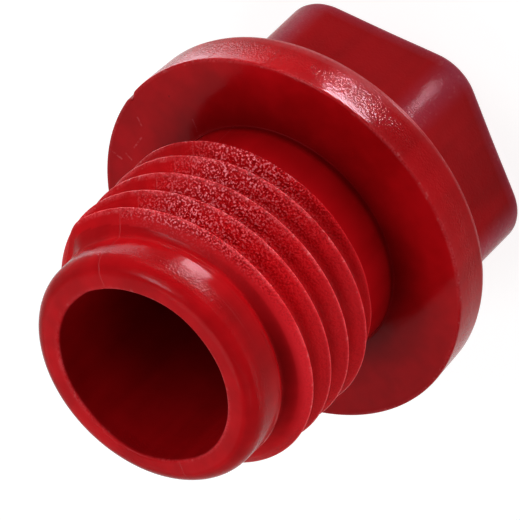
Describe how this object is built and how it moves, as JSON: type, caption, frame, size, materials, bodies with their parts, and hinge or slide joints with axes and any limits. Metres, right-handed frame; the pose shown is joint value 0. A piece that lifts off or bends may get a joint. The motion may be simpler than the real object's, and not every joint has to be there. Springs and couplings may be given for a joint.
{
  "type": "oil filler plug",
  "caption": "Red moulded plastic oil filler plug with a hexagonal head, a round sealing flange, a coarse thread and a hollow nose.",
  "frame": {"origin": "centre of the head's outer face, on which the plug stands", "axes": "+Z along the plug's axis, from the head to the open nose; +X through a corner of the hexagon"},
  "size_m": [0.019, 0.019, 0.0199],
  "materials": {
    "red_plastic": "moulded, semi-gloss, with a spark-eroded grain on the thread flanks"
  },
  "bodies": {
    "root": {"oil_filler_plug": "red_plastic"}
  },
  "joints": []
}
